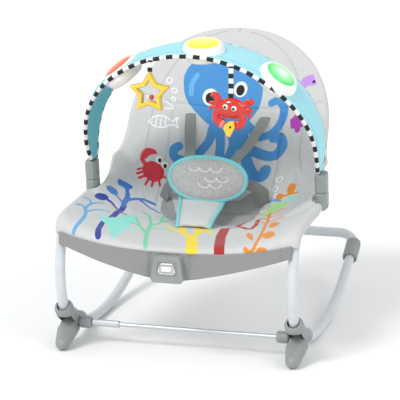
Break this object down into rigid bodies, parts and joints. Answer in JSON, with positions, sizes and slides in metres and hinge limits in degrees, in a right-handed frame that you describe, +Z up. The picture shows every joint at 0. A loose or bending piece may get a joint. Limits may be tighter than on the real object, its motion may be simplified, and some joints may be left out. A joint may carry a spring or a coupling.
{
  "type": "baby rocker bouncer seat",
  "caption": "Baby bouncer seat on a tube frame with curved rocker rails, reclining back, flip-down kickstand, lift-off toy bar with hanging toys, and a vibration unit.",
  "frame": {"origin": "on the floor, under the middle of the seat's whole width and length", "axes": "+Z up; the child faces -Y; +Y runs to the rear cross tube; +X is to the right as seen from in front"},
  "size_m": [0.464, 0.6426, 0.565],
  "materials": {
    "white_paint": "satin white paint",
    "grey_plastic": "fine satin texture",
    "white_plastic": "smooth",
    "grey_cloth": "woven, heathered",
    "dark_cloth": "woven",
    "webbing": "ribbed webbing",
    "teal_cloth": "woven",
    "stripe_cloth": "woven ribbon",
    "steel": "bright",
    "yellow_plastic": "smooth",
    "red_plastic": "smooth",
    "green_plastic": "clear tinted",
    "orange_plastic": "clear tinted"
  },
  "bodies": {
    "base": {"battery": "steel", "battery_door": "grey_plastic", "crotch_pad": "grey_cloth", "crotch_strap": "grey_cloth", "front_bow_tube": "grey_plastic", "front_skirt": "dark_cloth", "harness_buckle": "grey_plastic", "left_front_housing": "grey_plastic", "left_pivot_boss": "grey_plastic", "left_rear_stop": "grey_plastic", "left_recline_hub": "grey_plastic", "left_rocker_rail": "white_paint", "left_seat_tube": "white_paint", "left_toy_bar_bracket": "grey_plastic", "left_waist_strap": "webbing", "rear_cross_tube": "white_paint", "right_front_housing": "grey_plastic", "right_pivot_boss": "grey_plastic", "right_rear_stop": "grey_plastic", "right_recline_hub": "grey_plastic", "right_rocker_rail": "white_paint", "right_seat_tube": "white_paint", "right_toy_bar_bracket": "grey_plastic", "right_waist_strap": "webbing", "seat_pad": "grey_cloth", "vibration_cover": "grey_plastic", "vibration_housing": "grey_plastic", "vibration_motor": "steel"},
    "kickstand": {"left_kick_foot": "grey_plastic", "right_kick_foot": "grey_plastic", "kickstand_rod": "steel", "rod_sleeve": "steel"},
    "backrest": {"backrest_tube": "white_paint", "back_pad": "grey_cloth", "left_back_hub": "grey_plastic", "right_back_hub": "grey_plastic", "left_shoulder_strap": "webbing", "right_shoulder_strap": "webbing"},
    "toy_bar": {"left_toy_bar_plug": "grey_plastic", "right_toy_bar_plug": "grey_plastic", "toy_bar_band": "teal_cloth", "red_pod_housing": "white_plastic", "red_pod_lens": "orange_plastic", "yellow_pod_housing": "white_plastic", "yellow_pod_lens": "yellow_plastic", "green_pod_housing": "white_plastic", "green_pod_lens": "green_plastic"},
    "star_toy": {"star_ribbon": "stripe_cloth", "star_frame": "yellow_plastic", "bead_wire": "steel"},
    "star_beads": {"star_white_bead": "white_plastic", "star_red_bead": "red_plastic"},
    "crab_toy": {"crab_ribbon": "stripe_cloth", "crab_body": "red_plastic", "fish_charm": "yellow_plastic"},
    "start_button": {"vibration_button": "white_plastic"},
    "motor_weight": {"eccentric_weight": "steel"}
  },
  "joints": [
    {"name": "kickstand_fold", "type": "hinge", "parent": "base", "child": "kickstand", "pos_m": [0, -0.20883, 0.041], "axis": [-1, 0, 0], "range_deg": [0, 25]},
    {"name": "recline", "type": "hinge", "parent": "base", "child": "backrest", "pos_m": [0, 0.04017, 0.258], "axis": [-1, 0, 0], "range_deg": [0, 12]},
    {"name": "toy_bar_lift", "type": "slide", "parent": "base", "child": "toy_bar", "axis": [0, -0.1483, 0.9889], "range_m": [0, 0.045]},
    {"name": "star_swing", "type": "hinge", "parent": "toy_bar", "child": "star_toy", "pos_m": [-0.06724, -0.18933, 0.52797], "axis": [1, 0, 0], "range_deg": [-35, 35]},
    {"name": "crab_swing", "type": "hinge", "parent": "toy_bar", "child": "crab_toy", "pos_m": [0.0822, -0.1882, 0.52334], "axis": [1, 0, 0], "range_deg": [-35, 35]},
    {"name": "bead_spin", "type": "hinge", "parent": "star_toy", "child": "star_beads", "pos_m": [-0.06724, -0.18933, 0.46348], "axis": [1, 0, 0], "continuous": true},
    {"name": "button_press", "type": "slide", "parent": "base", "child": "start_button", "axis": [0, 1, 0], "range_m": [0, 0.0015], "stiffness_N_per_m": 400},
    {"name": "motor_spin", "type": "hinge", "parent": "base", "child": "motor_weight", "pos_m": [0, -0.30383, 0.19], "axis": [1, 0, 0], "continuous": true}
  ]
}
